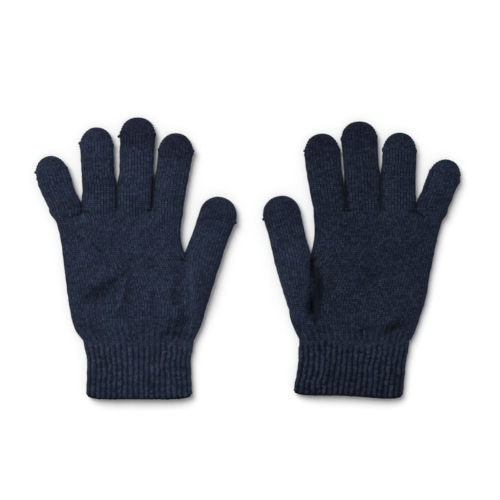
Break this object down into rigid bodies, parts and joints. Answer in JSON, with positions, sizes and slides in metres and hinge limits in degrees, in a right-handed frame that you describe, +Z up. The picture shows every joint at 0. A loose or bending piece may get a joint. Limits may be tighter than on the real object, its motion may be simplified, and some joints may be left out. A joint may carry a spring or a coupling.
{
  "type": "pair of knitted gloves",
  "caption": "Pair of five-finger fine-knit winter gloves with ribbed cuffs and touch-sensitive thumb, index and middle tips, laid flat; every finger and cuff bends.",
  "frame": {"origin": "on the resting plane, under the middle of the box that holds the pair", "axes": "+X to the right across the pair, +Y from the cuffs to the fingertips, +Z up out of the palms"},
  "size_m": [0.3426, 0.2244, 0.012],
  "materials": {
    "knit": "fine stocking-stitch knit, navy, slightly fuzzy",
    "rib": "one-by-one rib knit, navy, slightly fuzzy",
    "hem": "bound-off rib edge, navy",
    "touch_knit": "fine stocking-stitch knit in darker conductive yarn"
  },
  "bodies": {
    "left_hand": {"left_palm": "knit"},
    "left_cuff": {"left_cuff": "rib", "left_hem": "hem"},
    "left_little_root": {"left_little_root": "knit"},
    "left_little_mid": {"left_little_mid": "knit"},
    "left_little_tip": {"left_little_tip": "knit", "left_little_knot": "knit"},
    "left_ring_root": {"left_ring_root": "knit"},
    "left_ring_mid": {"left_ring_mid": "knit"},
    "left_ring_tip": {"left_ring_tip": "knit", "left_ring_knot": "knit"},
    "left_middle_root": {"left_middle_root": "knit"},
    "left_middle_mid": {"left_middle_mid": "knit"},
    "left_middle_tip": {"left_middle_tip": "touch_knit", "left_middle_knot": "touch_knit"},
    "left_index_root": {"left_index_root": "knit"},
    "left_index_mid": {"left_index_mid": "knit"},
    "left_index_tip": {"left_index_tip": "touch_knit", "left_index_knot": "touch_knit"},
    "left_thumb_root": {"left_thumb_root": "knit"},
    "left_thumb_tip": {"left_thumb_tip": "touch_knit", "left_thumb_knot": "touch_knit"},
    "right_hand": {"right_palm": "knit"},
    "right_cuff": {"right_cuff": "rib", "right_hem": "hem"},
    "right_little_root": {"right_little_root": "knit"},
    "right_little_mid": {"right_little_mid": "knit"},
    "right_little_tip": {"right_little_tip": "knit", "right_little_knot": "knit"},
    "right_ring_root": {"right_ring_root": "knit"},
    "right_ring_mid": {"right_ring_mid": "knit"},
    "right_ring_tip": {"right_ring_tip": "knit", "right_ring_knot": "knit"},
    "right_middle_root": {"right_middle_root": "knit"},
    "right_middle_mid": {"right_middle_mid": "knit"},
    "right_middle_tip": {"right_middle_tip": "touch_knit", "right_middle_knot": "touch_knit"},
    "right_index_root": {"right_index_root": "knit"},
    "right_index_mid": {"right_index_mid": "knit"},
    "right_index_tip": {"right_index_tip": "touch_knit", "right_index_knot": "touch_knit"},
    "right_thumb_root": {"right_thumb_root": "knit"},
    "right_thumb_tip": {"right_thumb_tip": "touch_knit", "right_thumb_knot": "touch_knit"}
  },
  "joints": [
    {"name": "left_cuff_fold", "type": "hinge", "parent": "left_hand", "child": "left_cuff", "pos_m": [-0.0876, -0.0652, 0.0106], "axis": [-1, 0, 0], "range_deg": [0, 75]},
    {"name": "left_little_knuckle", "type": "hinge", "parent": "left_hand", "child": "left_little_root", "pos_m": [-0.1465, 0.0402, 0.01], "axis": [1, 0, 0], "range_deg": [0, 80]},
    {"name": "left_little_bend", "type": "hinge", "parent": "left_little_root", "child": "left_little_mid", "pos_m": [-0.15223, 0.0546, 0.01], "axis": [1, 0, 0], "range_deg": [0, 80]},
    {"name": "left_little_end", "type": "hinge", "parent": "left_little_mid", "child": "left_little_tip", "pos_m": [-0.15677, 0.066, 0.01], "axis": [1, 0, 0], "range_deg": [0, 50]},
    {"name": "left_ring_knuckle", "type": "hinge", "parent": "left_hand", "child": "left_ring_root", "pos_m": [-0.1197, 0.0402, 0.01], "axis": [1, 0, 0], "range_deg": [0, 80]},
    {"name": "left_ring_bend", "type": "hinge", "parent": "left_ring_root", "child": "left_ring_mid", "pos_m": [-0.12058, 0.0642, 0.01], "axis": [1, 0, 0], "range_deg": [0, 80]},
    {"name": "left_ring_end", "type": "hinge", "parent": "left_ring_mid", "child": "left_ring_tip", "pos_m": [-0.12126, 0.0826, 0.01], "axis": [1, 0, 0], "range_deg": [0, 50]},
    {"name": "left_middle_knuckle", "type": "hinge", "parent": "left_hand", "child": "left_middle_root", "pos_m": [-0.0917, 0.0402, 0.01], "axis": [1, 0, 0], "range_deg": [0, 80]},
    {"name": "left_middle_bend", "type": "hinge", "parent": "left_middle_root", "child": "left_middle_mid", "pos_m": [-0.09052, 0.0672, 0.01], "axis": [1, 0, 0], "range_deg": [0, 80]},
    {"name": "left_middle_end", "type": "hinge", "parent": "left_middle_mid", "child": "left_middle_tip", "pos_m": [-0.0896, 0.0884, 0.01], "axis": [1, 0, 0], "range_deg": [0, 50]},
    {"name": "left_index_knuckle", "type": "hinge", "parent": "left_hand", "child": "left_index_root", "pos_m": [-0.065, 0.0402, 0.01], "axis": [1, 0, 0], "range_deg": [0, 80]},
    {"name": "left_index_bend", "type": "hinge", "parent": "left_index_root", "child": "left_index_mid", "pos_m": [-0.06243, 0.0612, 0.01], "axis": [1, 0, 0], "range_deg": [0, 80]},
    {"name": "left_index_end", "type": "hinge", "parent": "left_index_mid", "child": "left_index_tip", "pos_m": [-0.06035, 0.0782, 0.01], "axis": [1, 0, 0], "range_deg": [0, 50]},
    {"name": "left_thumb_knuckle", "type": "hinge", "parent": "left_hand", "child": "left_thumb_root", "pos_m": [-0.0376, -0.0005, 0.01], "axis": [0.9397, -0.342, 0], "range_deg": [0, 38]},
    {"name": "left_thumb_bend", "type": "hinge", "parent": "left_thumb_root", "child": "left_thumb_tip", "pos_m": [-0.02949, 0.02177, 0.01], "axis": [0.9397, -0.342, 0], "range_deg": [0, 55]},
    {"name": "pair_spread", "type": "slide", "parent": "left_hand", "child": "right_hand", "axis": [1, 0, 0], "range_m": [0, 0.08]},
    {"name": "right_cuff_fold", "type": "hinge", "parent": "right_hand", "child": "right_cuff", "pos_m": [0.0876, -0.0652, 0.0106], "axis": [-1, 0, 0], "range_deg": [0, 75]},
    {"name": "right_little_knuckle", "type": "hinge", "parent": "right_hand", "child": "right_little_root", "pos_m": [0.1465, 0.0402, 0.01], "axis": [1, 0, 0], "range_deg": [0, 80]},
    {"name": "right_little_bend", "type": "hinge", "parent": "right_little_root", "child": "right_little_mid", "pos_m": [0.15248, 0.0546, 0.01], "axis": [1, 0, 0], "range_deg": [0, 80]},
    {"name": "right_little_end", "type": "hinge", "parent": "right_little_mid", "child": "right_little_tip", "pos_m": [0.15722, 0.066, 0.01], "axis": [1, 0, 0], "range_deg": [0, 50]},
    {"name": "right_ring_knuckle", "type": "hinge", "parent": "right_hand", "child": "right_ring_root", "pos_m": [0.1197, 0.0402, 0.01], "axis": [1, 0, 0], "range_deg": [0, 80]},
    {"name": "right_ring_bend", "type": "hinge", "parent": "right_ring_root", "child": "right_ring_mid", "pos_m": [0.12066, 0.0642, 0.01], "axis": [1, 0, 0], "range_deg": [0, 80]},
    {"name": "right_ring_end", "type": "hinge", "parent": "right_ring_mid", "child": "right_ring_tip", "pos_m": [0.1214, 0.0826, 0.01], "axis": [1, 0, 0], "range_deg": [0, 50]},
    {"name": "right_middle_knuckle", "type": "hinge", "parent": "right_hand", "child": "right_middle_root", "pos_m": [0.0917, 0.0402, 0.01], "axis": [1, 0, 0], "range_deg": [0, 80]},
    {"name": "right_middle_bend", "type": "hinge", "parent": "right_middle_root", "child": "right_middle_mid", "pos_m": [0.09046, 0.0672, 0.01], "axis": [1, 0, 0], "range_deg": [0, 80]},
    {"name": "right_middle_end", "type": "hinge", "parent": "right_middle_mid", "child": "right_middle_tip", "pos_m": [0.08949, 0.0884, 0.01], "axis": [1, 0, 0], "range_deg": [0, 50]},
    {"name": "right_index_knuckle", "type": "hinge", "parent": "right_hand", "child": "right_index_root", "pos_m": [0.065, 0.0402, 0.01], "axis": [1, 0, 0], "range_deg": [0, 80]},
    {"name": "right_index_bend", "type": "hinge", "parent": "right_index_root", "child": "right_index_mid", "pos_m": [0.06243, 0.0612, 0.01], "axis": [1, 0, 0], "range_deg": [0, 80]},
    {"name": "right_index_end", "type": "hinge", "parent": "right_index_mid", "child": "right_index_tip", "pos_m": [0.06035, 0.0782, 0.01], "axis": [1, 0, 0], "range_deg": [0, 50]},
    {"name": "right_thumb_knuckle", "type": "hinge", "parent": "right_hand", "child": "right_thumb_root", "pos_m": [0.0352, -0.0005, 0.01], "axis": [0.9703, 0.2419, 0], "range_deg": [0, 38]},
    {"name": "right_thumb_bend", "type": "hinge", "parent": "right_thumb_root", "child": "right_thumb_tip", "pos_m": [0.02947, 0.0225, 0.01], "axis": [0.9703, 0.2419, 0], "range_deg": [0, 55]}
  ],
  "couplings": [
    {"joint": "left_little_end", "follows": "left_little_bend", "ratio": 0.625},
    {"joint": "left_ring_end", "follows": "left_ring_bend", "ratio": 0.625},
    {"joint": "left_middle_end", "follows": "left_middle_bend", "ratio": 0.625},
    {"joint": "left_index_end", "follows": "left_index_bend", "ratio": 0.625},
    {"joint": "right_little_end", "follows": "right_little_bend", "ratio": 0.625},
    {"joint": "right_ring_end", "follows": "right_ring_bend", "ratio": 0.625},
    {"joint": "right_middle_end", "follows": "right_middle_bend", "ratio": 0.625},
    {"joint": "right_index_end", "follows": "right_index_bend", "ratio": 0.625}
  ]
}
